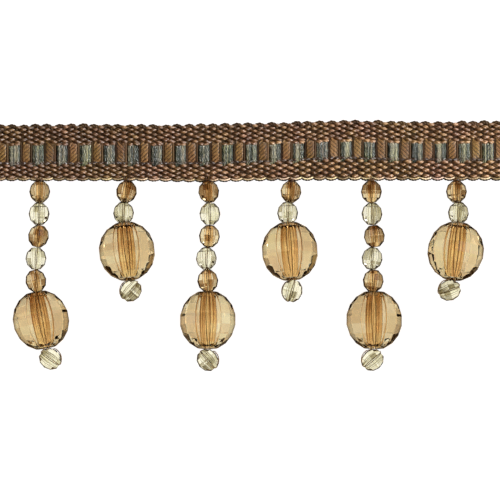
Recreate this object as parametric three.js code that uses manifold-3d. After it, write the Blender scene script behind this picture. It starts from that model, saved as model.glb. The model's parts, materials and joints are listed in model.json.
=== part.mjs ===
// A cut length of beaded fringe: a woven braid heading with six bead drops sewn along its lower edge.
// It lies on its back. X runs along the braid, Y up across its face and Z out of its face.
// All sizes are in millimetres.
import * as THREE from "three";
import { mergeVertices } from "three/addons/utils/BufferGeometryUtils.js";
import Module from "manifold-3d";

// Braid heading: a flat weave with looped edges and a thinner ladder band along its middle.
const BRAID_LENGTH = 150;
const BRAID_WIDTH = 15.6;
const BRAID_THICKNESS = 2;
const PICK = 1.693;
const LOOP_PITCH = 2 * PICK;
const LOOP_CREST = -0.6;
const LOOP_STEPS = 4;
const UPPER_LOOP = 0.7;
const LOWER_LOOP = 0.35;
const UPPER_EDGE_RISE = 0.9;
const BAND_LOW = 4.5;
const BAND_HIGH = 10.1;
const BAND_DEPTH = 0.4;

// Each thread is sewn into a short groove on the face of the lower edge.
const GROOVE_WIDTH = 1.1;
const GROOVE_DEPTH = 0.5;
const GROOVE_LENGTH = 2.2;
const THREAD_START = 1.8;
const THREAD_LEAVES = 0.2;
const THREAD_HEIGHT = 2.1;

// Cut beads. corner is the radius to the facet corners, flat the radius of the flat round each hole,
// and stretch how much longer the bead is along its hole.
const SMALL = { corner: 3, flat: 0.95, hole: 0.75, rows: 4, sides: 12, stretch: 1.05 };
const BALL = { corner: 8.15, flat: 2, hole: 1.6, rows: 7, sides: 16, stretch: 1 };

// Stringing. The balls are thicker than the small beads, so each drop climbs away from the braid.
const FIRST_BEAD = 3.4;
const LONG_PITCH = 6.37;
const SHORT_PITCH = 6.15;
const BALL_GAP = 0.4;
const CLIMB = 4.85;
const STOPPER_DISTANCE = 11.4;
const STOPPER_DROOP = 0.5;

// Thread: one strand down the drop, round through the stopper bead and back up into the ball.
const THREAD_RADIUS = 0.2;
const THREAD_SIDES = 8;
const STEPS_A_SPAN = 2;
const STRAND_OFFSET = 0.6;
const LOOP_RADIUS = 3.65;
const LOOP_SPREAD = 40;
const LOOP_MOUTH = 6;
const LOOP_ANGLE_STEP = 26;
const BORE_ENTRY = 2.1;
const RETURN_DEPTH = 3;

// Each drop: its place along the braid, how far every bead wanders sideways from that place (small
// beads in order, then the ball and the stopper), and the turn of the stopper's hole in degrees.
const DROPS = [
  { at: -60.1, small: [0, -0.15, -0.3, -1, -1], ball: 0.5, stopper: 3.15, turn: -35 },
  { at: -35.3, small: [0, -0.8], ball: 0.2, stopper: 1.35, turn: 50 },
  { at: -11.8, small: [0, 0.35, 0.2, -0.65, -0.25], ball: -0.25, stopper: -0.3, turn: -50 },
  { at: 11.7, small: [0, -0.95], ball: -0.35, stopper: 0.3, turn: 75 },
  { at: 34.7, small: [0, 0.15, 0.8, 0.15, 0.45], ball: 0.7, stopper: 0.25, turn: 40 },
  { at: 59, small: [0, 0.5], ball: -0.35, stopper: -2.2, turn: 20 },
];

// Finishes
const braidFinish = { color: 0x67503c, roughness: 0.85, metalness: 0 };
const topazFinish = { color: 0xb8894f, roughness: 0.08, metalness: 0 };
const clearFinish = { color: 0xe4dcc0, roughness: 0.08, metalness: 0 };
const threadFinish = { color: 0x3b2a1e, roughness: 0.7, metalness: 0 };

const wasm = await Module();
wasm.setup();

function solid(geometry) {
  const bare = geometry.clone();
  bare.deleteAttribute("normal");
  bare.deleteAttribute("uv");
  const merged = mergeVertices(bare);
  return new wasm.Manifold(new wasm.Mesh({
    numProp: 3,
    vertProperties: new Float32Array(merged.attributes.position.array),
    triVerts: new Uint32Array(merged.index.array),
  }));
}

function geometryOf(manifold) {
  const mesh = manifold.getMesh();
  const geometry = new THREE.BufferGeometry();
  geometry.setAttribute("position", new THREE.BufferAttribute(mesh.vertProperties, 3));
  geometry.setIndex(new THREE.BufferAttribute(mesh.triVerts, 1));
  geometry.computeVertexNormals();
  return geometry;
}

function named(name, geometry, finish) {
  const mesh = new THREE.Mesh(geometry, new THREE.MeshStandardMaterial(finish));
  mesh.name = name;
  return mesh;
}

function block(width, length, height, x, y, z) {
  return new THREE.BoxGeometry(width, length, height).translate(x, y, z);
}

// The yarn turns back at both edges in a row of round loops. The upper edge rises a little to the right.
function loopHeight(x) {
  return Math.abs(Math.cos((Math.PI * (x - LOOP_CREST)) / LOOP_PITCH));
}

function upperEdge(x) {
  return BRAID_WIDTH + UPPER_EDGE_RISE * (x / BRAID_LENGTH) + UPPER_LOOP * loopHeight(x);
}

function lowerEdge(x) {
  return -LOWER_LOOP * loopHeight(x);
}

function braidOutline() {
  const half = BRAID_LENGTH / 2;
  const step = LOOP_PITCH / LOOP_STEPS;
  const first = Math.ceil((-half - LOOP_CREST) / step);
  const last = Math.floor((half - LOOP_CREST) / step);
  const between = Array.from({ length: last - first + 1 }, (_, i) => LOOP_CREST + (first + i) * step);
  const places = [-half, ...between, half];
  const lower = places.map((x) => new THREE.Vector2(x, lowerEdge(x)));
  const upper = places.map((x) => new THREE.Vector2(x, upperEdge(x))).reverse();
  return new THREE.Shape([...lower, ...upper]);
}

function braidGeometry() {
  const sheet = new THREE.ExtrudeGeometry(braidOutline(), { depth: BRAID_THICKNESS, bevelEnabled: false });
  const past = BRAID_LENGTH + LOOP_PITCH;
  const bandWidth = BAND_HIGH - BAND_LOW;
  const bandMiddle = (BAND_HIGH + BAND_LOW) / 2;
  const band = block(past, bandWidth, 2 * BAND_DEPTH, 0, bandMiddle, BRAID_THICKNESS);
  let braid = solid(sheet).subtract(solid(band));
  for (const drop of DROPS) {
    const groove = block(GROOVE_WIDTH, 2 * GROOVE_LENGTH, 2 * GROOVE_DEPTH, drop.at, 0, BRAID_THICKNESS);
    braid = braid.subtract(solid(groove));
  }
  return geometryOf(braid);
}

// A bead is turned from its facet corners: equal rows from one pole flat to the other, then the hole.
function beadRings(bead) {
  const top = Math.acos(bead.flat / bead.corner);
  const spread = 1 / Math.cos(Math.PI / bead.sides);
  return Array.from({ length: bead.rows + 1 }, (_, i) => {
    const latitude = top * ((2 * i) / bead.rows - 1);
    const out = bead.corner * Math.cos(latitude) * spread;
    return new THREE.Vector2(out, bead.corner * Math.sin(latitude) * bead.stretch);
  });
}

function poleHeight(bead) {
  return bead.stretch * Math.sqrt(bead.corner ** 2 - bead.flat ** 2);
}

function beadGeometry(bead) {
  const rings = beadRings(bead);
  const pole = poleHeight(bead);
  const hole = [new THREE.Vector2(bead.hole, pole), new THREE.Vector2(bead.hole, -pole)];
  return new THREE.LatheGeometry([...rings, ...hole, rings[0].clone()], bead.sides, Math.PI / bead.sides);
}

// How high a bead's middle lies when it rests on a facet with its hole tilted by this much.
function restHeight(bead, tilt) {
  const faceOut = Math.cos(Math.PI / bead.sides) * Math.cos(tilt);
  return Math.max(...beadRings(bead).map((ring) => ring.x * faceOut + ring.y * Math.sin(tilt)));
}

// Places a bead on its middle, its hole along an axis and one facet turned to the surface.
function placeBead(mesh, middle, axis) {
  const along = axis.clone().normalize();
  const down = new THREE.Vector3(0, 0, -1);
  down.addScaledVector(along, -down.dot(along)).normalize();
  const side = new THREE.Vector3().crossVectors(along, down);
  mesh.position.copy(middle);
  mesh.quaternion.setFromRotationMatrix(new THREE.Matrix4().makeBasis(side, along, down));
  return mesh;
}

// Middles of the beads of one drop, from the braid outwards.
function dropMiddles(drop) {
  const pitch = drop.small.length > 2 ? LONG_PITCH : SHORT_PITCH;
  const lastBead = FIRST_BEAD + pitch * (drop.small.length - 1);
  const reach = poleHeight(SMALL) + poleHeight(BALL) + BALL_GAP;
  const slope = Math.atan(CLIMB / (lastBead + reach - FIRST_BEAD));
  const rise = STOPPER_DROOP * slope;
  const tilt = Math.atan2(
    STOPPER_DISTANCE * Math.sin(rise) + reach * Math.sin(slope),
    STOPPER_DISTANCE * Math.cos(rise) + reach * Math.cos(slope),
  );
  const ballDown = lastBead + reach * Math.cos(slope);
  const ballHeight = restHeight(BALL, tilt);
  const small = drop.small.map((wander, i) => {
    const down = FIRST_BEAD + pitch * i;
    return new THREE.Vector3(drop.at + wander, -down, ballHeight - (ballDown - down) * Math.tan(slope));
  });
  const ball = new THREE.Vector3(drop.at + drop.ball, -ballDown, ballHeight);
  const sideways = drop.stopper - drop.ball;
  const stopperHeight = STOPPER_DISTANCE * Math.sin(rise);
  const stopperDown = Math.sqrt(STOPPER_DISTANCE ** 2 - stopperHeight ** 2 - sideways ** 2);
  const stopper = ball.clone().add(new THREE.Vector3(sideways, -stopperDown, stopperHeight));
  return { small, ball, stopper };
}

function stopperAxis(drop) {
  const turn = THREE.MathUtils.degToRad(drop.turn);
  return new THREE.Vector3(Math.cos(turn), Math.sin(turn), 0);
}

// The route of one thread: out of the braid, through the beads, round the stopper bead and back.
function threadRoute(drop, middles, ballAxis) {
  const { small, ball, stopper } = middles;
  const axis = stopperAxis(drop);
  const toBall = ball.clone().sub(stopper).normalize();
  const across = toBall.clone().addScaledVector(axis, -toBall.dot(axis)).normalize();
  const top = THREE.MathUtils.radToDeg(Math.acos(toBall.dot(axis)));
  const round = (degrees, radius) => {
    const angle = THREE.MathUtils.degToRad(degrees);
    const out = axis.clone().multiplyScalar(Math.cos(angle)).addScaledVector(across, Math.sin(angle));
    return stopper.clone().addScaledVector(out, radius);
  };
  const arc = (low, high) => {
    const count = Math.round(Math.max(0, high - low) / LOOP_ANGLE_STEP);
    const degrees = (i) => low + ((high - low) * i) / Math.max(1, count);
    return Array.from({ length: count + 1 }, (_, i) => round(degrees(i), LOOP_RADIUS));
  };
  const aside = round(top - 90, STRAND_OFFSET).sub(stopper);
  const mouth = ball.clone().addScaledVector(ballAxis, poleHeight(BALL));
  return [
    new THREE.Vector3(drop.at, THREAD_START, THREAD_HEIGHT),
    new THREE.Vector3(drop.at, THREAD_LEAVES, THREAD_HEIGHT),
    ...small,
    ball,
    mouth.clone().add(aside),
    ...arc(LOOP_MOUTH, top - LOOP_SPREAD).reverse(),
    round(0, BORE_ENTRY),
    round(180, BORE_ENTRY),
    ...arc(top + LOOP_SPREAD, 180 - LOOP_MOUTH).reverse(),
    mouth.clone().sub(aside),
    mouth.clone().sub(aside).addScaledVector(ballAxis, -RETURN_DEPTH),
  ];
}

// A smooth curve through a route's points, stepped evenly from point to point, so that the close
// turns at the stopper's hole get short steps and the straight runs long ones.
class Route extends THREE.CatmullRomCurve3 {
  getUtoTmapping(u) {
    return u;
  }
}

function threadGeometry(route) {
  const path = new Route(route, false, "centripetal");
  const section = new THREE.Shape().absarc(0, 0, THREAD_RADIUS, 0, 2 * Math.PI, false);
  return new THREE.ExtrudeGeometry(section, {
    extrudePath: path,
    steps: STEPS_A_SPAN * (route.length - 1),
    curveSegments: THREAD_SIDES / 2,
    bevelEnabled: false,
  });
}

// Topaz and clear small beads take turns from the braid down, the ball is topaz and the stopper clear.
function buildDrop(drop, name) {
  const group = new THREE.Group();
  const middles = dropMiddles(drop);
  const strung = [...middles.small, middles.ball, middles.stopper];
  const start = new THREE.Vector3(drop.at, THREAD_LEAVES, THREAD_HEIGHT);
  const axisAt = (i) => strung[i + 1].clone().sub(i > 0 ? strung[i - 1] : start).normalize();
  middles.small.forEach((middle, i) => {
    const finish = i % 2 === 0 ? topazFinish : clearFinish;
    const bead = named(`${name}_bead${i + 1}`, beadGeometry(SMALL), finish);
    group.add(placeBead(bead, middle, axisAt(i)));
  });
  const ballAxis = axisAt(middles.small.length);
  const ball = named(`${name}_ball`, beadGeometry(BALL), topazFinish);
  group.add(placeBead(ball, middles.ball, ballAxis));
  const stopper = named(`${name}_stopper`, beadGeometry(SMALL), clearFinish);
  group.add(placeBead(stopper, middles.stopper, stopperAxis(drop)));
  const route = threadRoute(drop, middles, ballAxis);
  group.add(named(`${name}_thread`, threadGeometry(route), threadFinish));
  return group;
}

const fringe = new THREE.Group();
fringe.add(named("braid_heading", braidGeometry(), braidFinish));
DROPS.forEach((drop, i) => fringe.add(buildDrop(drop, `drop${i + 1}`)));

// The origin is under the middle of the whole length, on the surface that it lies on.
const extent = new THREE.Box3().setFromObject(fringe, true);
fringe.position.y = -(extent.min.y + extent.max.y) / 2;

export default fringe;
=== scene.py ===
import json
import math
import random

import bmesh
import bpy
from mathutils import Matrix, Quaternion, Vector

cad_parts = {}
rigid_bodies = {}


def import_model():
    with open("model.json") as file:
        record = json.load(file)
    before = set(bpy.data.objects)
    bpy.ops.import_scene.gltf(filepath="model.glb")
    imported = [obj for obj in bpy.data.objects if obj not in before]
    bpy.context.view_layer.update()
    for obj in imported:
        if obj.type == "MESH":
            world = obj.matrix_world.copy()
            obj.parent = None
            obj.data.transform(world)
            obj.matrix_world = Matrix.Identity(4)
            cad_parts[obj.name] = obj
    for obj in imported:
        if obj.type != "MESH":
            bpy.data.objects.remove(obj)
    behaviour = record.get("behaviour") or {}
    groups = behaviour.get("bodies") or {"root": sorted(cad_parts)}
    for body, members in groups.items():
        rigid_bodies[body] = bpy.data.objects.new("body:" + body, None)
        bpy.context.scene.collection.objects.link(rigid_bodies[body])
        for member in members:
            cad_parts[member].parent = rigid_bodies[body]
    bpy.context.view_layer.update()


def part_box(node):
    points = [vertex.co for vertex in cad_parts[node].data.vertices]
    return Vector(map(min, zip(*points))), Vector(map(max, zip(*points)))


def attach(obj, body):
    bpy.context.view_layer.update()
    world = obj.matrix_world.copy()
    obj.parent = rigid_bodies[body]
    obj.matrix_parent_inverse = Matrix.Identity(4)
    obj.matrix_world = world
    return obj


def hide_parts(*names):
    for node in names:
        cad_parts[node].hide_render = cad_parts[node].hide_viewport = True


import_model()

# Sizes are in millimetres, in the frame of the fringe: X along the braid, Y up its face, Z out of it.
MM = 0.001
FULL_TURN = 2 * math.pi

# Braid, as in the CAD heading
PICK = 1.693
FIRST_PICK = -0.55
LOWER_LOOP = 0.35
BRAID_WIDTH = 15.6
BRAID_LOW, BRAID_HIGH = (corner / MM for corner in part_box("braid_heading"))
HALF_LENGTH = BRAID_HIGH.x
LOWER_EDGE = BRAID_LOW.y + LOWER_LOOP
MIDDLE_HEIGHT = 1.1

# How far the rows of the braid step up from the left half to the right one, by height on the braid.
STEP_TABLE = [(0, 0.1), (5.0, 1.1), (10.1, 0.6), (BRAID_WIDTH, 0.91)]
STEP_FROM, STEP_TO = -18, 24
ROW_WAVE = 0.07
ROW_WAVE_LENGTH = 41

# Two places where the braid lies uneven: the lower edge sags, and further on the band bulges up
SAG = {"x": -14, "reach": 13, "lift": -0.35, "heights": [(0, 1), (6, 0), (BRAID_WIDTH, 0)]}
BULGE = {"x": 27, "reach": 10, "lift": 0.5, "heights": [(0, 0), (5, 1), (10, 1), (BRAID_WIDTH, 0.3)]}

# Warp ends: the yarns that run along the braid, over one pick and under the next
END_PITCH = 0.71
LOWER_ENDS = 6
UPPER_ENDS = 8
FIRST_LOWER_END = 1.0
FOOT_OF_BAND = FIRST_LOWER_END + END_PITCH * LOWER_ENDS + 0.12
FIRST_UPPER_END = 10.5
END_CRIMP = 0.58
FOOT_CRIMP = 0.2
GOLDEN_CRIMP = 0.4

# How thick an end is drawn: over a pick, between two that it goes over, under one, and where it is cut off
OVER_PICK = 1.15
BETWEEN_PICKS = 0.9
UNDER_PICK = 0.75
CUT_OFF = 0.8

# How far an end strays: sideways, along the braid, in thickness, in tone as a whole and from float to float
STRAY_SIDEWAYS = 0.13
STRAY_ALONG = 0.28
STRAY_THICKNESS = (0.82, 1.15)
STRAY_TONE = 0.05
STRAY_FLOAT_TONE = 0.17

# Points of one edge loop: along the braid from its pick, up from the edge, and height
UPPER_LOOP = [
    (-1.75, -0.75, 0.7), (-1.2, -0.25, 0.95), (-0.4, 0.2, 1.05),
    (0.4, 0.26, 1.15), (1.1, -0.1, 1.3), (1.7, -0.75, 1.45),
]
UPPER_LOOP_THICKNESS = [0.7, 0.95, 1, 1, 0.95, 0.7]
# The near-black loops under the tan ones are a real yarn whose near-black tone is painted shadow
SHADOW_LOOP = [(-1.75, 0.45, 1.0), (-1.0, 0.08, 1.0), (0, -0.1, 1.0), (1.0, 0.08, 1.0), (1.75, 0.45, 1.0)]
TAN_LOOP = [(-1.75, 0.66, 1.0), (-1.0, 0.36, 1.6), (0, 0.2, 1.7), (1.0, 0.36, 1.6), (1.75, 0.66, 1.0)]

# Ladder band: each repeat is a teal block of two bundles, a dark pick at either side, and a gold gimp bar
BAND_LOW = 4.96
BAND_HIGH = 10.14
BAND_CUT = 0.3
DIVE = 0.7
REPEAT = 4 * PICK
TEAL_MIDDLE = 0.37
TEAL_BUNDLE_WIDTH = 1.52

# Each teal bundle: its side of the block's middle, its tone, and how much painted shade darkens the block's
# edge
TEAL_BUNDLES = [(-0.5, 0.57, 0.14), (0.5, 0.71, 0.4)]
FRONT, BEHIND = 1, -1
TEAL_STRANDS = [(FRONT, 5), (BEHIND, 3)]
TEAL_CROWN = 0.55
TEAL_EDGE_DROP = 0.25

# Each dark pick: its place from the teal's middle, its height and its tone
DARK_PICKS = [(-2.1, 0.46, 0.57), (1.87, 0.2, 0.42)]
GOLD_FROM_TEAL = 3.33
GOLD_HEIGHT = 0.35

# How far above the band's foot and head the dark picks and the gold bars begin and end
DARK_RISE = (0.6, 0.6)
GOLD_RISE = (0.9, 0.5)

# Ground sheet: its thickness, how far it stays inside the edges, its rows of faces, and its dark tone,
# painted shade in the gaps between the yarns
GROUND_THICKNESS = 0.4
GROUND_INSET = 0.35
GROUND_ROWS = 12
GROUND_SHADE_TONE = 0.2

# Beads: radius to the facet corners, of the flat round the hole, and of the hole. Against the CAD beads they
# have wider flats and are a little longer, so that they meet broadly, and the ball has fewer sides.
SMALL = {"Corner": 3.0, "Flat": 1.25, "Hole": 0.75, "Rows": 4, "Sides": 12, "Stretch": 1.125}
BALL = {"Corner": 8.15, "Flat": 2.9, "Hole": 1.6, "Rows": 7, "Sides": 14, "Stretch": 1.055}

# The wall of a hole swells a little towards the middle of its bead
HOLE_RINGS = 9
HOLE_SWELL = 0.36

# Corners of a bead that lie this close, in metres, are one
MERGE = 0.00001

# The flats round a hole are all of one pale tone, where each facet has its own from 0 to 1
FLAT_TONE = 0.15

# Each drop: how many small beads it has, and the turn of the stopper bead's hole in degrees
DROPS = [
    {"small": 5, "turn": -35},
    {"small": 2, "turn": 50},
    {"small": 5, "turn": -50},
    {"small": 2, "turn": 75},
    {"small": 5, "turn": 40},
    {"small": 2, "turn": 20},
]

# Small beads hang on their thread with play, and lean either way by this slope at the most
LEAN = 0.13

# Thread: where it comes up through the braid, from where it leaves the edge, and its plain tone
EDGE_UP = 0.2
EDGE_HEIGHT = 2.1
SEWN_IN = [Vector((0, 1.2, -1.2)), Vector((0, 0.6, -0.7))]
THREAD_TONE = 0.36

# Stitches at a drop: first points from where the thread leaves the edge, aside, up and out, and thickness
STITCH = [(0.75, 0.6, -1.1), (0.72, 0.2, -0.9), (0.68, -0.1, -0.5)]
STITCH_THICKNESS = [0.9, 1.1, 1.1, 0.9, 0.6]

# Thread round the stopper bead, as in the CAD route
STRAND_OFFSET = 0.6
LOOP_RADIUS = 3.22
LOOP_SPREAD = 40
LOOP_MOUTH = 6
LOOP_ANGLE_STEP = 26
BORE_ENTRY = 2.1
RETURN_DEPTH = 3

# Camera: the width that the picture takes in, and its middle from the lower edge of the braid
PHOTO_WIDTH = 142.857
PHOTO_MIDDLE = -20.08
CAMERA_HEIGHT = 2000
FOCUS_HEIGHT = 4
SENSOR = 36

scene = bpy.context.scene
chance = random.Random(5)


# Node trees

class Number:
    """A number or vector in a node tree. Arithmetic on it adds Math nodes."""

    def __init__(self, tree, socket):
        self.tree = tree
        self.socket = socket

    def math(self, operation, *others):
        return self.tree.math(operation, self, *others)

    def __add__(self, other):
        return self.math("ADD", other)

    def __sub__(self, other):
        return self.math("SUBTRACT", other)

    def __rsub__(self, other):
        return self.tree.math("SUBTRACT", other, self)

    def __mul__(self, other):
        return self.math("MULTIPLY", other)

    def __truediv__(self, other):
        return self.math("DIVIDE", other)

    def __rtruediv__(self, other):
        return self.tree.math("DIVIDE", other, self)

    __radd__ = __add__
    __rmul__ = __mul__


class Tree:
    """A Geometry Nodes tree with named inputs."""

    def __init__(self, name, inputs):
        self.group = bpy.data.node_groups.new(name, "GeometryNodeTree")
        face = self.group.interface
        face.new_socket("Geometry", in_out="INPUT", socket_type="NodeSocketGeometry")
        face.new_socket("Geometry", in_out="OUTPUT", socket_type="NodeSocketGeometry")
        self.identifiers = {}
        for label, kind in inputs.items():
            socket = face.new_socket(label, in_out="INPUT", socket_type="NodeSocket" + kind)
            self.identifiers[label] = socket.identifier
        self.start = self.group.nodes.new("NodeGroupInput")
        self.end = self.group.nodes.new("NodeGroupOutput")

    def input(self, label):
        return Number(self, self.start.outputs[label])

    def join(self, socket, value):
        if isinstance(value, Number):
            self.group.links.new(value.socket, socket)
        else:
            socket.default_value = value

    def node(self, kind, links=None, **settings):
        made = self.group.nodes.new(kind)
        for key, value in settings.items():
            setattr(made, key, value)
        for key, value in (links or {}).items():
            self.join(made.inputs[key], value)
        return made

    def out(self, made, label=0):
        return Number(self, made.outputs[label])

    def step(self, kind, links=None, **settings):
        return self.out(self.node(kind, links, **settings))

    def math(self, operation, *values):
        made = self.group.nodes.new("ShaderNodeMath")
        made.operation = operation
        for socket, value in zip(made.inputs, values):
            self.join(socket, value)
        return self.out(made)

    def vector(self, operation, *values):
        made = self.group.nodes.new("ShaderNodeVectorMath")
        made.operation = operation
        for socket, value in zip(made.inputs, values):
            self.join(socket, value)
        return self.out(made)

    def scaled(self, vector, amount):
        return self.step("ShaderNodeVectorMath", {"Vector": vector, "Scale": amount}, operation="SCALE")

    def compose(self, x, y, z):
        return self.step("ShaderNodeCombineXYZ", {"X": x, "Y": y, "Z": z})

    def attribute(self, name, kind="FLOAT"):
        return self.step("GeometryNodeInputNamedAttribute", {"Name": name}, data_type=kind)

    def store(self, geometry, name, value, kind="FLOAT", domain="POINT"):
        links = {"Geometry": geometry, "Name": name, "Value": value}
        return self.step("GeometryNodeStoreNamedAttribute", links, data_type=kind, domain=domain)

    def finish(self, geometry, *finishes):
        """Realizes the instances and sets each finish on the faces that its selection names."""
        shape = self.step("GeometryNodeRealizeInstances", {"Geometry": geometry})
        for material, selection in finishes:
            shape = self.step(
                "GeometryNodeSetMaterial",
                {"Geometry": shape, "Selection": selection, "Material": material},
            )
        self.group.links.new(shape.socket, self.end.inputs[0])
        return self


# How far apart the plies of one yarn read the noise that they wander by, in metres
PLY_APART = (0.7, 0.3, 0.5)


def twisted_yarn():
    """Plies laid round each path, every other one paler. Its points carry the thickness and shade."""
    tree = Tree("twisted yarn", {
        "Plies": "Int", "Ply Radius": "Float", "Lay": "Float", "Flat": "Float", "Twist": "Float",
        "Step": "Float", "Sides": "Int", "Wander": "Float", "Wander Size": "Float", "Ply Shade": "Float",
        "Finish": "Material",
    })
    path = tree.step("GeometryNodeMeshToCurve", {"Mesh": tree.input("Geometry")})
    path = tree.step("GeometryNodeCurveSplineType", {"Curve": path}, spline_type="CATMULL_ROM")
    spacing = {"Curve": path, "Length": tree.input("Step")}
    path = tree.step("GeometryNodeResampleCurve", spacing, mode="LENGTH")
    path = tree.step("GeometryNodeSetCurveNormal", {"Curve": path}, mode="Z_UP")
    copies = tree.node(
        "GeometryNodeDuplicateElements",
        {"Geometry": path, "Amount": tree.input("Plies")},
        domain="SPLINE",
    )
    ply = tree.out(copies, "Duplicate Index")
    length = tree.out(tree.node("GeometryNodeSplineParameter"), "Length")
    turn = ply * FULL_TURN / tree.input("Plies") + length * tree.input("Twist") * tree.attribute("hand")
    thick = tree.attribute("thick")
    normal = tree.step("GeometryNodeInputNormal")
    across = tree.vector("CROSS_PRODUCT", tree.step("GeometryNodeInputTangent"), normal)
    lay = tree.input("Lay") * thick
    round_path = tree.vector(
        "ADD",
        tree.scaled(normal, turn.math("COSINE") * lay),
        tree.scaled(across, turn.math("SINE") * lay * tree.input("Flat")),
    )
    place = tree.step("GeometryNodeInputPosition")
    own_place = tree.vector("ADD", place, tree.scaled(tree.compose(*PLY_APART), ply))
    noise = tree.node(
        "ShaderNodeTexNoise",
        {"Vector": own_place, "Scale": 1 / tree.input("Wander Size"), "Detail": 1.0},
    )
    wander = tree.vector("SUBTRACT", tree.out(noise, "Color"), (0.5, 0.5, 0.5))
    offset = tree.vector("ADD", round_path, tree.scaled(wander, tree.input("Wander")))
    plies = tree.step("GeometryNodeSetPosition", {"Geometry": tree.out(copies), "Offset": offset})
    paler = ply.math("MODULO", 2.0) * tree.input("Ply Shade")
    plies = tree.store(plies, "shade", tree.attribute("shade") + paler)
    unit_circle = {"Resolution": tree.input("Sides"), "Radius": 1.0}
    section = tree.step("GeometryNodeCurvePrimitiveCircle", unit_circle)
    tube = tree.step("GeometryNodeCurveToMesh", {
        "Curve": plies,
        "Profile Curve": section,
        "Scale": thick * tree.input("Ply Radius"),
        "Fill Caps": True,
    })
    tube = tree.step("GeometryNodeSetShadeSmooth", {"Geometry": tube})
    return tree.finish(tube, (tree.input("Finish"), True))


def cut_bead():
    """A bead turned from its facet corners: equal rows from pole flat to pole flat, and its hole."""
    tree = Tree("cut bead", {
        "Corner": "Float", "Flat": "Float", "Hole": "Float", "Rows": "Int", "Sides": "Int",
        "Stretch": "Float", "Seed": "Int", "Place": "Vector", "Turn": "Rotation",
        "Finish": "Material", "Lining": "Material",
    })
    corner, flat, hole = (tree.input(label) for label in ("Corner", "Flat", "Hole"))
    rows, sides, stretch = (tree.input(label) for label in ("Rows", "Sides", "Stretch"))
    seed = tree.input("Seed")
    grid = tree.step("GeometryNodeMeshGrid", {
        "Size X": 1.0, "Size Y": 1.0, "Vertices X": sides * 2 + 1, "Vertices Y": rows + HOLE_RINGS + 2,
    })
    spot = tree.node("ShaderNodeSeparateXYZ", {"Vector": tree.step("GeometryNodeInputPosition")})
    column = ((tree.out(spot, "X") + 0.5) * sides * 2).math("ROUND")
    rings = rows + HOLE_RINGS + 1
    ring = ((tree.out(spot, "Y") + 0.5) * rings).math("ROUND").math("MODULO", rings)
    in_hole = ring.math("GREATER_THAN", rows + 0.5)
    half_side = math.pi / sides
    chord = 1 - column.math("MODULO", 2.0) * (1 - half_side.math("COSINE"))
    top = (flat / corner).math("ARCCOSINE")
    latitude = top * (ring * 2 / rows - 1)
    facet_out = corner * latitude.math("COSINE") * chord
    facet_up = corner * latitude.math("SINE") * stretch
    pole = (corner * corner - flat * flat).math("SQRT") * stretch
    along = 1 - (ring - rows - 1) * (2 / (HOLE_RINGS - 1))
    hole_out = hole * (1 + HOLE_SWELL * (1 - along * along))
    out = facet_out + in_hole * (hole_out - facet_out)
    up = facet_up + in_hole * (pole * along - facet_up)
    angle = half_side * (column + 1)
    facet_column = ((tree.out(spot, "X") + 0.5) * sides).math("FLOOR")
    facet_row = ((tree.out(spot, "Y") + 0.5) * rings).math("FLOOR")
    facet = tree.compose(facet_column, facet_row, seed)
    tone = tree.step("ShaderNodeTexWhiteNoise", {"Vector": facet}, noise_dimensions="3D")
    on_facet = facet_row.math("LESS_THAN", rows - 0.5)
    shape = tree.store(grid, "facet_tone", FLAT_TONE + on_facet * (tone - FLAT_TONE), domain="FACE")
    shape = tree.store(shape, "hole_wall", in_hole)
    down_hole = tree.compose(angle.math("COSINE") + seed * 2, angle.math("SINE"), up / pole)
    shape = tree.store(shape, "hole_place", down_hole, "FLOAT_VECTOR")
    place = tree.compose(out * angle.math("SINE"), up, out * angle.math("COSINE"))
    shape = tree.step("GeometryNodeSetPosition", {"Geometry": shape, "Position": place})
    shape = tree.step("GeometryNodeMergeByDistance", {"Geometry": shape, "Distance": MERGE})
    shape = tree.step("GeometryNodeTransform", {
        "Geometry": shape, "Translation": tree.input("Place"), "Rotation": tree.input("Turn"),
    })
    from_middle = tree.vector("SUBTRACT", tree.step("GeometryNodeInputPosition"), tree.input("Place"))
    shape = tree.store(shape, "round_normal", tree.vector("NORMALIZE", from_middle), "FLOAT_VECTOR")
    lined = tree.attribute("hole_wall").math("GREATER_THAN", 0.99)
    shape = tree.step("GeometryNodeSetShadeSmooth", {"Geometry": shape, "Selection": lined})
    return tree.finish(shape, (tree.input("Finish"), True), (tree.input("Lining"), lined))


def grown(name, tree, settings, mesh=None):
    """A plain mesh object made by a tree."""
    piece = bpy.data.objects.new(name, mesh or bpy.data.meshes.new(name))
    scene.collection.objects.link(piece)
    shape = piece.modifiers.new("shape", "NODES")
    shape.node_group = tree.group
    for label, value in settings.items():
        shape[tree.identifiers[label]] = value
    graph = bpy.context.evaluated_depsgraph_get()
    made = bpy.data.meshes.new_from_object(
        piece.evaluated_get(graph), preserve_all_data_layers=True, depsgraph=graph
    )
    piece.modifiers.clear()
    piece.data = made
    return piece


def face_outwards(piece):
    shape = bmesh.new()
    shape.from_mesh(piece.data)
    bmesh.ops.recalc_face_normals(shape, faces=shape.faces)
    shape.to_mesh(piece.data)
    shape.free()


# Finishes

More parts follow.
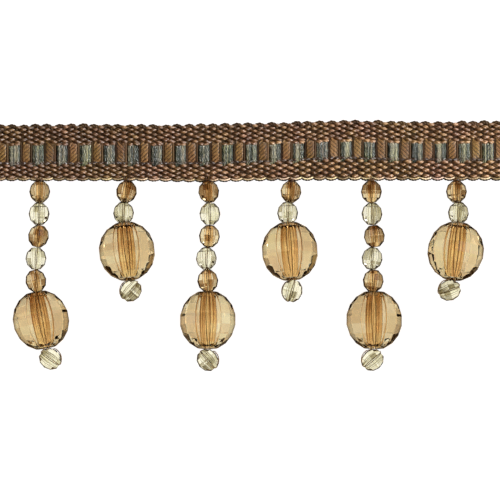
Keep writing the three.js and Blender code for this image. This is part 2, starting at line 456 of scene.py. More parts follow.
class Finish:
    """A material whose Principled shader gets plain values and, where it varies, nodes."""

    def __init__(self, name, **plain):
        self.material = bpy.data.materials.new(name)
        self.material.use_nodes = True
        self.nodes = self.material.node_tree.nodes
        self.shader = next(node for node in self.nodes if node.type == "BSDF_PRINCIPLED")
        for label, value in plain.items():
            self.shader.inputs[label.replace("_", " ")].default_value = value

    def node(self, kind, links=None, **settings):
        made = self.nodes.new(kind)
        for key, value in settings.items():
            setattr(made, key, value)
        for key, value in (links or {}).items():
            self.join(made.inputs[key], value)
        return made

    def join(self, socket, value):
        if isinstance(value, bpy.types.NodeSocket):
            self.material.node_tree.links.new(value, socket)
        else:
            socket.default_value = value

    def set(self, label, value):
        self.join(self.shader.inputs[label], value)

    def math(self, operation, *values):
        made = self.node("ShaderNodeMath", operation=operation)
        for socket, value in zip(made.inputs, values):
            self.join(socket, value)
        return made.outputs[0]

    def attribute(self, name, output="Fac"):
        return self.node("ShaderNodeAttribute", attribute_name=name).outputs[output]

    def place(self, stretch=(1, 1, 1)):
        """Object coordinates, in millimetres times the stretch along each axis."""
        source = self.node("ShaderNodeTexCoord").outputs["Object"]
        scale = tuple(amount / MM for amount in stretch)
        return self.node("ShaderNodeMapping", {"Vector": source, "Scale": scale}).outputs[0]

    def noise(self, vector, scale, detail=2.0):
        links = {"Vector": vector, "Scale": scale, "Detail": detail}
        return self.node("ShaderNodeTexNoise", links).outputs["Fac"]

    def ramp(self, factor, stops):
        made = self.node("ShaderNodeValToRGB", {"Fac": factor})
        marks = made.color_ramp.elements
        while len(marks) < len(stops):
            marks.new(0.5)
        for mark, (position, colour) in zip(marks, stops):
            mark.position = position
            mark.color = (*colour, 1)
        return made.outputs["Color"]

    def blend(self, factor, first, second, kind="MIX"):
        made = self.node("ShaderNodeMix", data_type="RGBA", blend_type=kind)
        sockets = (made.inputs[0], made.inputs[6], made.inputs[7])
        for socket, value in zip(sockets, (factor, first, second)):
            self.join(socket, value)
        return made.outputs[2]

    def rise(self, value, low, high, least=0.0):
        """From the least to 1, smoothly, as the value goes from low to high."""
        links = {"Value": value, "From Min": low, "From Max": high, "To Min": least}
        made = self.node("ShaderNodeMapRange", links, interpolation_type="SMOOTHSTEP")
        return made.outputs["Result"]

    def facing(self, **links):
        """From 0 where the surface faces the view to 1 where it is seen edge on."""
        return self.node("ShaderNodeLayerWeight", {"Blend": 0.5, **links}).outputs["Facing"]

    def bump(self, height, strength, distance):
        links = {"Height": height, "Strength": strength, "Distance": distance * MM}
        self.set("Normal", self.node("ShaderNodeBump", links).outputs["Normal"])


# Colour drifts of the yarn: their scale, how quickly one passes into the other, and both casts
DRIFT_SCALE = 0.16
CAST_SWING = 4
PURPLE_CAST = (0.96, 0.86, 1.12)
OLIVE_CAST = (0.97, 1.08, 0.86)

# Relief of the fibres and of the polished facets: its strength, and its depth in millimetres
FIBRE_BUMP = (0.8, 0.1)
FACET_BUMP = (0.12, 0.05)
FACET_BUMP_SCALE = 0.5

# Acrylic, the facets that take painted shade at a glancing view, by a shuffle of their own tones, and the
# width of the painted shaded outline
ACRYLIC_IOR = 1.49
FACET_SHUFFLE = 7.0
DARK_FROM, DARK_TO, LEAST_DARK = 0.3, 0.6, 0.1
SHADED_OUTLINE_WIDTH = 0.25


def yarn_finish(name, stops, fibre_stretch, roughness, gloss, mottle=0.5):
    """Spun or filament yarn: its shade by strand, purple and olive drifts, and fine fibres along it."""
    finish = Finish(name, Roughness=roughness, Specular_IOR_Level=gloss)
    drift = finish.noise(finish.place(), DRIFT_SCALE)
    fibres = finish.noise(finish.place(fibre_stretch), 1.0)
    mottled = finish.math("MULTIPLY_ADD", fibres, mottle, -0.5 * mottle)
    tone = finish.math("ADD", finish.attribute("shade"), mottled)
    colour = finish.ramp(tone, stops)
    for tint, swing in ((PURPLE_CAST, CAST_SWING), (OLIVE_CAST, -CAST_SWING)):
        share = finish.node("ShaderNodeMath", operation="MULTIPLY_ADD", use_clamp=True)
        for socket, value in zip(share.inputs, (drift, swing, -0.5 * swing)):
            finish.join(socket, value)
        tinted = finish.blend(1.0, colour, (*tint, 1), "MULTIPLY")
        colour = finish.blend(share.outputs[0], colour, tinted)
    finish.set("Base Color", colour)
    finish.bump(fibres, *FIBRE_BUMP)
    return finish.material


def bead_finish(name, tints_and_reflections, rim_shade, rim_shade_range, shaded_outline_from):
    """Cut acrylic: clear, its tint by facet, with dark reflections painted into some facets' tints. Painted
    shade darkens its outline and some facets at a glancing view.
    """
    finish = Finish(name, Roughness=0.0, Transmission_Weight=1.0, IOR=ACRYLIC_IOR)
    tone = finish.attribute("facet_tone")
    tint = finish.ramp(tone, tints_and_reflections)
    # Painted shade: the shuffled facets and the ball-like outline turn to the dark rim colour at a glancing
    # view
    own = finish.math("FRACT", finish.math("MULTIPLY", tone, FACET_SHUFFLE))
    facet_shade = finish.rise(own, DARK_FROM, DARK_TO, LEAST_DARK)
    glancing = finish.rise(finish.facing(), *rim_shade_range)
    share = finish.math("MULTIPLY", glancing, facet_shade)
    as_a_ball = finish.facing(Normal=finish.attribute("round_normal", "Vector"))
    shaded_outline = finish.rise(as_a_ball, shaded_outline_from, shaded_outline_from + SHADED_OUTLINE_WIDTH)
    share = finish.math("MAXIMUM", share, shaded_outline)
    finish.set("Base Color", finish.blend(share, tint, (*rim_shade, 1)))
    finish.bump(finish.noise(finish.place(), FACET_BUMP_SCALE, 1.0), *FACET_BUMP)
    return finish.material


# Painted shade lines and painted highlight strips along a hole's wall, by how far round it they lie, and how
# strongly they show
EVEN, PAINTED_SHADE_LINE, PAINTED_HIGHLIGHT_STRIP = (tuple([value] * 3) for value in (0.5, 0.0, 0.53))
PAINTED_WALL_LINES = [(0.58, EVEN), (0.65, PAINTED_SHADE_LINE), (0.72, PAINTED_HIGHLIGHT_STRIP), (0.88, PAINTED_HIGHLIGHT_STRIP), (0.96, PAINTED_SHADE_LINE)]
LINE_STRENGTH = 0.4

# Streaks round the wall, and how its tone goes from end to end of the hole
WALL_IOR = 1.12
STREAKS_ROUND = 3.6
END_TO_END = 0.14
WALL_LIFT = 0.06


def hole_finish(name, stops, streaks_along):
    """The wall of a hole, waxed by its thread: streaked along it, with painted shade lines and painted
    highlight strips at its sides, and darker towards its upper end.
    """
    finish = Finish(name, Roughness=0.08, Transmission_Weight=1.0, IOR=WALL_IOR)
    spot = finish.attribute("hole_place", "Vector")
    scale = (STREAKS_ROUND, STREAKS_ROUND, streaks_along)
    streaks = finish.node("ShaderNodeMapping", {"Vector": spot, "Scale": scale}).outputs[0]
    parts = finish.node("ShaderNodeSeparateXYZ", {"Vector": spot})
    # Painted shade and painted highlight: dark lines and pale strips at the sides of the hole, where it is
    # seen edge on from above
    painted_lines = finish.ramp(finish.math("ABSOLUTE", parts.outputs["Y"]), PAINTED_WALL_LINES)
    edges = finish.math("MULTIPLY_ADD", painted_lines, LINE_STRENGTH, -0.5 * LINE_STRENGTH)
    tone = finish.math("ADD", finish.noise(streaks, 1.0, 3.0), edges)
    ends = finish.math("MULTIPLY_ADD", parts.outputs["Z"], END_TO_END, WALL_LIFT)
    tone = finish.math("ADD", tone, ends)
    finish.set("Base Color", finish.ramp(tone, stops))
    return finish.material


# Colours of the yarns and of the hole walls, from their darkest tone to their palest
BROWN = [(0.1, (0.026, 0.0095, 0.002)), (0.5, (0.118, 0.053, 0.018)), (0.9, (0.32, 0.175, 0.075))]
DARK_BROWN = [(0.1, (0.018, 0.008, 0.002)), (0.5, (0.06, 0.03, 0.011)), (0.9, (0.15, 0.085, 0.035))]
NEAR_BLACK = [(0.1, (0.006, 0.003, 0.001)), (0.5, (0.02, 0.01, 0.004)), (0.9, (0.06, 0.035, 0.015))]
TAN = [(0.1, (0.12, 0.07, 0.03)), (0.5, (0.5, 0.36, 0.2)), (0.9, (0.86, 0.7, 0.46))]
THREAD = [(0.1, (0.1, 0.045, 0.012)), (0.5, (0.45, 0.27, 0.11)), (0.9, (0.8, 0.6, 0.35))]
TEAL = [(0.1, (0.004, 0.008, 0.006)), (0.5, (0.045, 0.057, 0.04)), (0.9, (0.3, 0.27, 0.17))]
DARK_PICK = [(0.1, (0.011, 0.005, 0.002)), (0.5, (0.05, 0.026, 0.01)), (0.9, (0.15, 0.088, 0.042))]
GOLD = [(0.1, (0.024, 0.011, 0.003)), (0.5, (0.125, 0.061, 0.02)), (0.9, (0.36, 0.2, 0.075))]
BALL_HOLE = [(0.38, (0.25, 0.11, 0.035)), (0.46, (0.66, 0.42, 0.21)), (0.6, (1.0, 0.83, 0.55))]
SMALL_HOLE = [(0.35, (0.23, 0.09, 0.03)), (0.44, (0.8, 0.54, 0.32)), (0.57, (1.0, 0.84, 0.6))]
CLEAR_HOLE = [(0.35, (0.26, 0.22, 0.13)), (0.43, (0.88, 0.85, 0.69)), (0.52, (1.0, 1.0, 0.96))]
STOPPER_HOLE = [(0.38, (0.13, 0.1, 0.05)), (0.44, (0.86, 0.82, 0.62)), (0.51, (1.0, 1.0, 0.95))]

# Tints of the facets, by each facet's own tone: the paler stops are the acrylic's own tint, and the darker
# stops are painted dark reflections seen inside some facets
BALL_TINTS_AND_REFLECTIONS = [(0.1, (0.795, 0.72, 0.48)), (0.4, (0.71, 0.59, 0.32)), (0.6, (0.72, 0.54, 0.31)),
              (0.95, (0.57, 0.43, 0.23))]
SMALL_TINTS_AND_REFLECTIONS = [(0.3, (0.88, 0.77, 0.5)), (0.5, (0.74, 0.6, 0.33)), (0.77, (0.17, 0.08, 0.024))]
CLEAR_TINTS_AND_REFLECTIONS = [(0.45, (0.945, 0.92, 0.765)), (0.73, (0.85, 0.82, 0.58)), (0.93, (0.26, 0.22, 0.11))]
STOPPER_TINTS_AND_REFLECTIONS = [(0.46, (0.955, 0.928, 0.735)), (0.7, (0.83, 0.79, 0.53)), (0.9, (0.2, 0.16, 0.075))]

# How the fibres of a yarn are stretched: along the braid, across it, or hardly at all
ALONG = (0.35, 5, 5)
ACROSS = (6, 0.3, 6)
FILAMENT = (4, 3.4, 4)
GIMP = (2.4, 2, 2.4)
SPECKS = (3, 3, 3)

end_yarn = yarn_finish("end yarn", BROWN, ALONG, roughness=0.38, gloss=0.82)
edge_yarn = yarn_finish("edge yarn", DARK_BROWN, ALONG, roughness=0.5, gloss=0.25)
shadow_yarn = yarn_finish("shadow yarn", NEAR_BLACK, ALONG, roughness=0.8, gloss=0.1)
loop_yarn = yarn_finish("loop yarn", TAN, ALONG, roughness=0.5, gloss=0.4)
teal_yarn = yarn_finish("teal filament", TEAL, FILAMENT, roughness=0.25, gloss=0.7, mottle=1.1)
dark_yarn = yarn_finish("dark pick", DARK_PICK, ACROSS, roughness=0.6, gloss=0.15)
gold_yarn = yarn_finish("gold gimp", GOLD, GIMP, roughness=0.4, gloss=0.5, mottle=1.5)
sewing_thread = yarn_finish("sewing thread", THREAD, SPECKS, roughness=0.5, gloss=0.3)
# The ground's dark tone is painted shade in the gaps of the weave
shaded_ground_weave = yarn_finish("ground weave", DARK_BROWN, ACROSS, roughness=0.8, gloss=0.2)

# The painted rim shade of each acrylic, the range of glancing views in which facets turn to it, and where
# its painted shaded outline begins
TOPAZ_RIM_SHADE = {"rim_shade": (0.05, 0.022, 0.006), "rim_shade_range": (0.72, 0.86), "shaded_outline_from": 0.57}
DEEP_TOPAZ_RIM_SHADE = {"rim_shade": (0.015, 0.006, 0.0015), "rim_shade_range": (0.4, 0.64), "shaded_outline_from": 0.49}
CLEAR_RIM_SHADE = {"rim_shade": (0.06, 0.05, 0.025), "rim_shade_range": (0.48, 0.74), "shaded_outline_from": 0.57}

topaz_ball = bead_finish("topaz acrylic", BALL_TINTS_AND_REFLECTIONS, **TOPAZ_RIM_SHADE)
topaz_small = bead_finish("deep topaz acrylic", SMALL_TINTS_AND_REFLECTIONS, **DEEP_TOPAZ_RIM_SHADE)
clear = bead_finish("clear acrylic", CLEAR_TINTS_AND_REFLECTIONS, **CLEAR_RIM_SHADE)
clear_stopper = bead_finish("clear stopper acrylic", STOPPER_TINTS_AND_REFLECTIONS, **CLEAR_RIM_SHADE)
ball_lining = hole_finish("lined ball hole", BALL_HOLE, streaks_along=0.3)
small_lining = hole_finish("lined small hole", SMALL_HOLE, streaks_along=0.7)
clear_wall = hole_finish("clear hole wall", CLEAR_HOLE, streaks_along=0.4)
stopper_wall = hole_finish("clear stopper hole wall", STOPPER_HOLE, streaks_along=0.4)


# Braid

def between(table, y):
    """A value read off a table of heights, straight between its rows."""
    for (low, first), (high, last) in zip(table, table[1:]):
        if y <= high:
            return first + (last - first) * max(0, y - low) / (high - low)
    return table[-1][1]


def smooth_step(low, high, x):
    along = min(1, max(0, (x - low) / (high - low)))
    return along * along * (3 - 2 * along)


def climb(x, y):
    """How far a place on the braid is lifted by the step, slow waves and uneven lie of its rows."""
    lift = between(STEP_TABLE, y) * (smooth_step(STEP_FROM, STEP_TO, x) - 0.5)
    lift += ROW_WAVE * math.sin(FULL_TURN * x / ROW_WAVE_LENGTH + 0.2 * y) * y / BRAID_WIDTH
    for place in (SAG, BULGE):
        near = math.exp(-((x - place["x"]) / place["reach"]) ** 2)
        lift += place["lift"] * near * between(place["heights"], y)
    return lift


def on_braid(x, y, z):
    return Vector((x, LOWER_EDGE + y + climb(x, y), z)) * MM


def pick_at(number):
    return FIRST_PICK + PICK * number


def picks():
    first = math.ceil((-HALF_LENGTH - FIRST_PICK) / PICK)
    last = math.floor((HALF_LENGTH - FIRST_PICK) / PICK)
    return range(first, last + 1)


def chains(name, paths):
    """Open chains of edges, one a path, with the yarn's thickness and shade at every point."""
    points, edges, thick, shade, hand = [], [], [], [], []
    for path in paths:
        first = len(points)
        count = len(path["points"])
        points += path["points"]
        edges += [(first + i, first + i + 1) for i in range(count - 1)]
        thick += path.get("thick", [1.0] * count)
        shade += path["shade"] if isinstance(path["shade"], list) else [path["shade"]] * count
        hand += [path.get("hand", 1.0)] * count
    mesh = bpy.data.meshes.new(name)
    mesh.from_pydata(points, edges, [])
    for label, values in (("thick", thick), ("shade", shade), ("hand", hand)):
        mesh.attributes.new(label, "FLOAT", "POINT").data.foreach_set("value", values)
    return mesh


def yarn(name, paths, finish, radius, lay, pitch, step, plies=2, sides=6, flat=1.0,
         wander=0.05, wander_size=2.0, ply_shade=0.0):
    """A piece of twisted yarns, one a path. The pitch is the length of one full twist."""
    lengths = {
        "Ply Radius": radius, "Lay": lay, "Step": step, "Wander": wander, "Wander Size": wander_size,
    }
    return grown(name, YARN, {
        **{label: length * MM for label, length in lengths.items()},
        "Plies": plies, "Flat": flat, "Twist": FULL_TURN / (pitch * MM), "Sides": sides,
        "Ply Shade": ply_shade, "Finish": finish,
    }, chains(name, paths))


def stray(most):
    return chance.uniform(-most, most)


def brown_tone(x):
    """The brown yarn is a little warmer and paler towards the right end."""
    return 0.54 + 0.11 * x / HALF_LENGTH


def lower_brown_tone(x):
    """The rows below the band are a shade paler than those above it."""
    return 0.06 + 0.03 * x / HALF_LENGTH + brown_tone(x)


def foot_shadow_tone(x):
    """The end along the foot of the band is near black, painted shadow under the band's edge."""
    return 0.12 + 0.04 * x / HALF_LENGTH


def golden_tone(x):
    """The end above the band turns from brown to gold along the braid."""
    return 0.48 + 0.3 * smooth_step(-25, 25, x)


def end_path(y, over, hand, crimp=END_CRIMP, tone=brown_tone):
    """One warp end: over the picks that the rule names and under the others, no two floats alike."""
    strand = stray(STRAY_TONE)
    points, thick, shade = [], [], []

    def lay(x, height, width):
        points.append(on_braid(x, y + stray(STRAY_SIDEWAYS), MIDDLE_HEIGHT + height))
        thick.append(width * chance.uniform(*STRAY_THICKNESS))
        shade.append(tone(x) + strand + stray(STRAY_FLOAT_TONE))

    lay(-HALF_LENGTH, 0.0, CUT_OFF)
    for n in picks():
        up = over(n)
        x = pick_at(n) + stray(STRAY_ALONG)
        lay(x, crimp if up else -crimp, OVER_PICK if up else UNDER_PICK)
        if up and over(n + 1):
            lay(pick_at(n + 0.5), 0.45 * crimp, BETWEEN_PICKS)
    lay(HALF_LENGTH, 0.0, CUT_OFF)
    return {"points": points, "thick": thick, "shade": shade, "hand": hand}


def plain_weave(row):
    return lambda n: (n + row) % 2 == 0


def over_all(n):
    return True


def over_teal(n):
    return n % 4 in (0, 1)


def hand_of(row):
    """Yarns of neighbouring rows are twisted opposite ways."""
    return 1 - 2 * (row % 2)


def warp_ends():
    lower = [
        end_path(FIRST_LOWER_END + END_PITCH * row, plain_weave(row), hand_of(row), tone=lower_brown_tone)
        for row in range(LOWER_ENDS)
    ]
    # The foot end's near-black tone is painted shadow along the foot of the band
    lower.append(end_path(FOOT_OF_BAND, over_all, 1, FOOT_CRIMP, foot_shadow_tone))
    upper = [end_path(FIRST_UPPER_END, over_teal, 1, GOLDEN_CRIMP, golden_tone)]
    upper += [
        end_path(FIRST_UPPER_END + END_PITCH * row, plain_weave(row), hand_of(row))
        for row in range(1, UPPER_ENDS)
    ]
    spun = {"plies": 3, "radius": 0.245, "lay": 0.2, "pitch": 3, "step": 0.3, "ply_shade": -0.1}
    return [
        yarn("lower_warp_ends", lower, end_yarn, **spun),
        yarn("upper_warp_ends", upper, end_yarn, **spun),
    ]


def edge_loops():
    """Thick dark loops along the upper edge, and thin tan ones along the lower edge over near-black ones, a
    yarn whose tone is painted shadow under the tan loops.
    """
    upper, shadow, tan = [], [], []
    for n in picks():
        x = pick_at(n)
        if n % 2 == 0 and abs(x) < HALF_LENGTH - PICK:
            size = chance.uniform(0.85, 1.1)
            lift = chance.uniform(-0.1, 0.15)
            lean = stray(0.3)
            upper.append({
                "points": [
                    on_braid(x + along + lean * (1 + up), BRAID_WIDTH + up + lift, height)
                    for along, up, height in UPPER_LOOP
                ],
                "thick": [share * size for share in UPPER_LOOP_THICKNESS],
                "shade": chance.uniform(0.35, 0.6),
            })
            shadow.append({
                "points": [on_braid(x + along, up, height) for along, up, height in SHADOW_LOOP],
                "shade": chance.uniform(0.3, 0.5),
            })
            tan.append({
                "points": [on_braid(x + along, up, height) for along, up, height in TAN_LOOP],
                "shade": chance.uniform(0.2, 0.8),
            })
    return [
        yarn("upper_edge_loops", upper, edge_yarn, plies=3, radius=0.3, lay=0.3, pitch=2.6, step=0.2),
        yarn("lower_edge_shadow_loops", shadow, shadow_yarn, radius=0.17, lay=0.15, pitch=1.6, step=0.2),
        yarn("lower_edge_tan_yarn", tan, loop_yarn, radius=0.13, lay=0.11, pitch=1.4, step=0.15),
    ]


def band_repeats():
    count = math.floor(HALF_LENGTH / REPEAT) + 1
    return [TEAL_MIDDLE + REPEAT * k for k in range(-count, count + 1)]


def band_span(rise):
    return BAND_LOW + rise[0], BAND_HIGH + rise[1]


def pick_across(x, low, high, height, face):
    """A pick's path over the front of the band, or behind it. It dives under the ends at both sides."""
    rise = [
        (low - DIVE, 0.0), (low, 0.45), (low + 0.6, 0.9), ((low + high) / 2, 1.0),
        (high - 0.6, 0.9), (high, 0.45), (high + DIVE, 0.0),
    ]
    return [on_braid(x, y, MIDDLE_HEIGHT + face * height * up) for y, up in rise]


def band_picks():
    teal, dark, gold = [], [], []

    def lay(kind, x, low, high, height, face=FRONT, **tone):
        if abs(x) < HALF_LENGTH - BAND_CUT:
            kind.append({"points": pick_across(x, low, high, height, face), **tone})

    def teal_block(middle):
        for side, tone, painted_edge_shade in TEAL_BUNDLES:
            tone += stray(0.06)
            for face, strands in TEAL_STRANDS:
                for i in range(strands):
                    across = (i + 0.5) / strands - 0.5
                    edge = (side + across) ** 2
                    crown = TEAL_CROWN * math.sqrt(1 - (1.5 * across) ** 2) - TEAL_EDGE_DROP * edge
                    crown += stray(0.06)
                    x = middle + TEAL_BUNDLE_WIDTH * (side + across) + stray(0.05)
                    # Painted shade: the strands darken towards the block's edges
                    shade = tone - painted_edge_shade * edge + chance.uniform(-0.44, 0.16)
                    lay(teal, x, BAND_LOW, BAND_HIGH, crown, face, shade=shade, hand=hand_of(i))

    for middle in band_repeats():
        teal_block(middle)
        for place, height, tone in DARK_PICKS:
            shade = tone + stray(0.2)
            lay(dark, middle + place, *band_span(DARK_RISE), height, shade=shade)
        x = middle + GOLD_FROM_TEAL
        shade = chance.uniform(0.29, 0.46) + 0.06 * middle / HALF_LENGTH
        hand = chance.choice((1, -1))
        lay(gold, x, *band_span(GOLD_RISE), GOLD_HEIGHT, shade=shade, hand=hand)
    filament = {"radius": 0.15, "lay": 0.13, "pitch": 2.6, "step": 0.4, "sides": 5}
    gimp = {"plies": 8, "radius": 0.23, "lay": 0.95, "flat": 0.15, "pitch": 4.6, "step": 0.25, "sides": 5}
    soft = {"wander": 0.08, "wander_size": 1.5, "ply_shade": 0.2}
    uneven = {"wander": 0.34, "wander_size": 0.7, "ply_shade": 0.34}
    return [
        yarn("band_teal_filaments", teal, teal_yarn, **filament, **soft),
        yarn("band_dark_picks", dark, dark_yarn, radius=0.2, lay=0.17, pitch=1.6, step=0.25),
        yarn("band_gold_gimp", gold, gold_yarn, **gimp, **uneven),
    ]


def ground():
    """The closed sheet at the heart of the weave, which the yarns cover on both faces. Its dark tone is
    painted shade where it shows between them.
    """
    rows = GROUND_ROWS
    columns = 2 * len(picks())
    width = BRAID_WIDTH - 2 * GROUND_INSET
    line = [GROUND_INSET + width * j / rows for j in range(rows + 1)]
    shape = bmesh.new()

    def layer(z):
        places = [-HALF_LENGTH + 2 * HALF_LENGTH * i / columns for i in range(columns + 1)]
        return [[shape.verts.new(on_braid(x, y, z)) for y in line] for x in places]

    below = layer(MIDDLE_HEIGHT - GROUND_THICKNESS / 2)
    above = layer(MIDDLE_HEIGHT + GROUND_THICKNESS / 2)
    for i in range(columns):
        for j in range(rows):
            shape.faces.new((above[i][j], above[i + 1][j], above[i + 1][j + 1], above[i][j + 1]))
            shape.faces.new((below[i][j], below[i][j + 1], below[i + 1][j + 1], below[i + 1][j]))
        for j in (0, rows):
            shape.faces.new((below[i][j], below[i + 1][j], above[i + 1][j], above[i][j]))
    for j in range(rows):
        for i in (0, columns):
            shape.faces.new((below[i][j], below[i][j + 1], above[i][j + 1], above[i][j]))
    bmesh.ops.recalc_face_normals(shape, faces=shape.faces)
    mesh = bpy.data.meshes.new("braid_ground")
    shape.to_mesh(mesh)
    shape.free()
    tone = mesh.attributes.new("shade", "FLOAT", "POINT")
    tone.data.foreach_set("value", [GROUND_SHADE_TONE] * len(mesh.vertices))
    mesh.materials.append(shaded_ground_weave)
    piece = bpy.data.objects.new("braid_ground", mesh)
    scene.collection.objects.link(piece)
    return piece


# Drops

def middle_of(node):
    low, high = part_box(node)
    return (low + high) / (2 * MM)


def pole_height(bead):
    return bead["Stretch"] * math.sqrt(bead["Corner"] ** 2 - bead["Flat"] ** 2)


def bead_turn(axis, roll):
    """Turns a bead's hole along an axis, and rolls the bead about it from where it lies on a facet."""
    along = axis.normalized()
    down = Vector((0, 0, -1))
    down = (down - along * down.dot(along)).normalized()
    down.rotate(Quaternion(along, roll))
    side = along.cross(down)
    return Matrix((side, along, down)).transposed().to_euler()


def bead(node, kind, middle, axis, finish, lining, slot):
    lengths = {label: kind[label] * MM for label in ("Corner", "Flat", "Hole")}
    counts = {label: kind[label] for label in ("Rows", "Sides", "Stretch")}
    roll = math.pi / kind["Sides"] * chance.uniform(0.8, 1.2)
    piece = grown(node + "_cut", BEAD, {
        **lengths, **counts, "Seed": len(strung.objects), "Place": middle * MM,
        "Turn": bead_turn(axis, roll), "Finish": finish, "Lining": lining,
    })
    face_outwards(piece)
    strung.objects.link(piece)
    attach(piece, "root")
    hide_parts(node)


def thread_route(start, small, ball, stopper, ball_axis, axis):
    """Out of the braid, through the beads, round the stopper bead and back into the ball."""
    to_ball = (ball - stopper).normalized()
    across = (to_ball - axis * to_ball.dot(axis)).normalized()
    top = math.degrees(math.acos(to_ball.dot(axis)))

    def around(degrees, radius):
        angle = math.radians(degrees)
        return stopper + (axis * math.cos(angle) + across * math.sin(angle)) * radius

    def arc(low, high):
        count = round(max(0, high - low) / LOOP_ANGLE_STEP)
        turns = [low + (high - low) * i / max(1, count) for i in range(count + 1)]
        return [around(turn, LOOP_RADIUS) for turn in reversed(turns)]

    aside = around(top - 90, STRAND_OFFSET) - stopper
    mouth = ball + ball_axis * pole_height(BALL)
    return [
        *(start + behind for behind in SEWN_IN), start, *small, ball, mouth + aside,
        *arc(LOOP_MOUTH, top - LOOP_SPREAD), around(0, BORE_ENTRY), around(180, BORE_ENTRY),
        *arc(top + LOOP_SPREAD, 180 - LOOP_MOUTH), mouth - aside, mouth - aside - ball_axis * RETURN_DEPTH,
    ]


def first_bead(number):
    return middle_of(f"drop{number}_bead1")


def thread_start(number):
    return Vector((first_bead(number).x, LOWER_EDGE + EDGE_UP, EDGE_HEIGHT))


def drop_stitches():
    """Stitches at each drop, over the braid's edge and down into the first bead."""
    stitches = []
    for number in range(1, len(DROPS) + 1):
        start = thread_start(number)
        bead_top = first_bead(number) + Vector((0, pole_height(SMALL), 0))
        for side in (-1, 0, 1):
            points = [
                *(start + Vector((aside * side, up, out)) for aside, up, out in STITCH),
                start.lerp(bead_top, 0.6) + Vector((0.5 * side, 0.0, 0.0)),
                bead_top + Vector((0.2 * side, -0.3, 0.0)),
            ]
            stitches.append({
                "points": [point * MM for point in points],
                "thick": STITCH_THICKNESS,
                "shade": chance.uniform(0.2, 0.45),
            })
    return yarn("drop_stitches", stitches, end_yarn, radius=0.2, lay=0.14, pitch=1.6, step=0.15, wander=0.0)


# Small beads take turns down a drop: each one's finish, the wall of its hole, and its slot
SMALL_KINDS = [(topaz_small, small_lining, "topaz_bead"), (clear, clear_wall, "clear_bead")]


def build_drop(number, drop):
    name = f"drop{number}"
    small = [middle_of(f"{name}_bead{i + 1}") for i in range(drop["small"])]
    ball = middle_of(f"{name}_ball")
    stopper = middle_of(f"{name}_stopper")
    middles = [*small, ball, stopper]
    start = thread_start(number)

    def axis_at(i):
        return (middles[i + 1] - (middles[i - 1] if i else start)).normalized()

    for i, middle in enumerate(small):
        lean = Vector((stray(LEAN), 0, stray(LEAN)))
        bead(f"{name}_bead{i + 1}", SMALL, middle, axis_at(i) + lean, *SMALL_KINDS[i % 2])
    ball_axis = axis_at(len(small))
    bead(f"{name}_ball", BALL, ball, ball_axis, topaz_ball, ball_lining, "topaz_bead")
    turn = math.radians(drop["turn"])
    stopper_axis = Vector((math.cos(turn), math.sin(turn), 0))
    bead(f"{name}_stopper", SMALL, stopper, stopper_axis, clear_stopper, stopper_wall, "clear_bead")
    route = thread_route(start, small, ball, stopper, ball_axis, stopper_axis)
    path = {"points": [point * MM for point in route], "shade": THREAD_TONE}
    fine = {"radius": 0.09, "lay": 0.07, "pitch": 1.0, "step": 0.12, "wander": 0.0}
    thread = yarn(f"{name}_thread_plies", [path], sewing_thread, **fine)
    strung.objects.link(thread)
    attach(thread, "root")
    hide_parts(f"{name}_thread")


# Stage

# Backdrop: its dim and pale tones, and how many patches of them there are
STUDIO = [(0.54, (0.043, 0.021, 0.008)), (0.63, (0.45, 0.32, 0.17))]
PATCHES = 9.0

# Floor: half its side in metres, its two paper tones, and the light that makes it a pale ground
FLOOR_HALF = 1.6
PAPER = [(0.3, (0.48, 0.48, 0.48)), (0.7, (0.51, 0.51, 0.505))]
PAPER_SCALE = 0.02
FLOOR_LIGHT = 0.83

WHITE = (1, 1, 1, 1)


def softbox(name, place, side, power, receivers):
    """A square lamp that faces the fringe, in metres and watts. It lights only the receivers."""
    lamp = bpy.data.lights.new(name, "AREA")
    lamp.shape = "SQUARE"
    lamp.size = side
    lamp.energy = power
    holder = bpy.data.objects.new(name, lamp)
    holder.location = place
    holder.rotation_euler = (-Vector(place)).to_track_quat("-Z", "Y").to_euler()
    holder.light_linking.receiver_collection = receivers
    scene.collection.objects.link(holder)


def surroundings():
    """A dim warm studio with pale patches, which the facets pick up."""
    world = bpy.data.worlds.new("dim warm studio")
    world.use_nodes = True
    nodes = world.node_tree.nodes
    backdrop = next(node for node in nodes if node.type == "BACKGROUND")
    direction = nodes.new("ShaderNodeTexCoord")
    patches = nodes.new("ShaderNodeTexNoise")
    patches.inputs["Scale"].default_value = PATCHES
    patches.inputs["Detail"].default_value = 1.0
    tones = nodes.new("ShaderNodeValToRGB")
    for mark, (position, colour) in zip(tones.color_ramp.elements, STUDIO):
        mark.position = position
        mark.color = (*colour, 1)
    join = world.node_tree.links.new
    join(direction.outputs["Generated"], patches.inputs["Vector"])
    join(patches.outputs["Fac"], tones.inputs["Fac"])
    join(tones.outputs["Color"], backdrop.inputs["Color"])
    scene.world = world


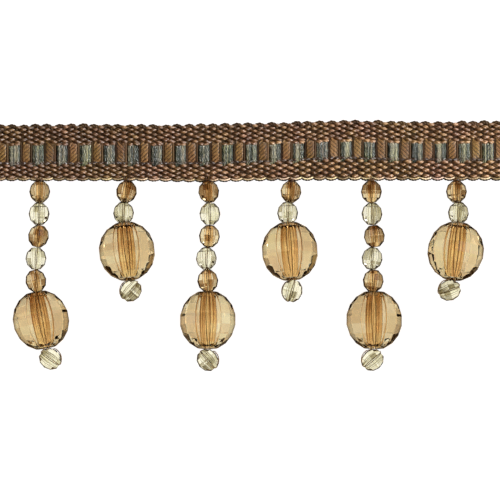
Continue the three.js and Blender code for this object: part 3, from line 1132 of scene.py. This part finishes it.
def stage():
    """A pale floor that no reflection shows, two lamps for the braid, and three for beads and floor."""
    mesh = bpy.data.meshes.new("floor")
    corners = [(x * FLOOR_HALF, y * FLOOR_HALF, 0) for x, y in ((-1, -1), (1, -1), (1, 1), (-1, 1))]
    mesh.from_pydata(corners, [], [(0, 1, 2, 3)])
    finish = Finish("pale floor", Roughness=0.9, Emission_Color=WHITE, Emission_Strength=FLOOR_LIGHT)
    paper = finish.noise(finish.place(), PAPER_SCALE, 3.0)
    finish.set("Base Color", finish.ramp(paper, PAPER))
    mesh.materials.append(finish.material)
    floor = bpy.data.objects.new("floor", mesh)
    floor.visible_glossy = False
    scene.collection.objects.link(floor)
    strung.objects.link(floor)
    softbox("braid key", (1.25, 0.2, 0.9), side=0.5, power=60, receivers=woven)
    softbox("braid fill", (-0.1, 1.2, 1.1), side=0.9, power=2.5, receivers=woven)
    softbox("top softbox", (0, 0, 2.3), side=1.2, power=24, receivers=strung)
    softbox("left softbox", (-1.4, 0.4, 1.0), side=1.2, power=5, receivers=strung)
    softbox("right softbox", (1.3, 0.6, 1.1), side=1.2, power=5, receivers=strung)
    surroundings()
    scene.view_settings.view_transform = "Standard"


def camera():
    lens = bpy.data.cameras.new("photo view")
    lens.sensor_width = SENSOR
    lens.lens = SENSOR * (CAMERA_HEIGHT - FOCUS_HEIGHT) / PHOTO_WIDTH
    lens.clip_end = 20
    holder = bpy.data.objects.new("photo view", lens)
    holder.location = Vector((0, LOWER_EDGE + PHOTO_MIDDLE, CAMERA_HEIGHT)) * MM
    scene.collection.objects.link(holder)
    scene.camera = holder


woven = bpy.data.collections.new("woven pieces")
strung = bpy.data.collections.new("strung pieces and floor")
camera()
stage()
YARN = twisted_yarn()
BEAD = cut_bead()
cloth = ground()
yarns = [*warp_ends(), *edge_loops(), *band_picks()]
stitches = drop_stitches()
for piece in (cloth, *yarns, stitches):
    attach(piece, "root")
    woven.objects.link(piece)
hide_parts("braid_heading")
for number, drop in enumerate(DROPS, 1):
    build_drop(number, drop)
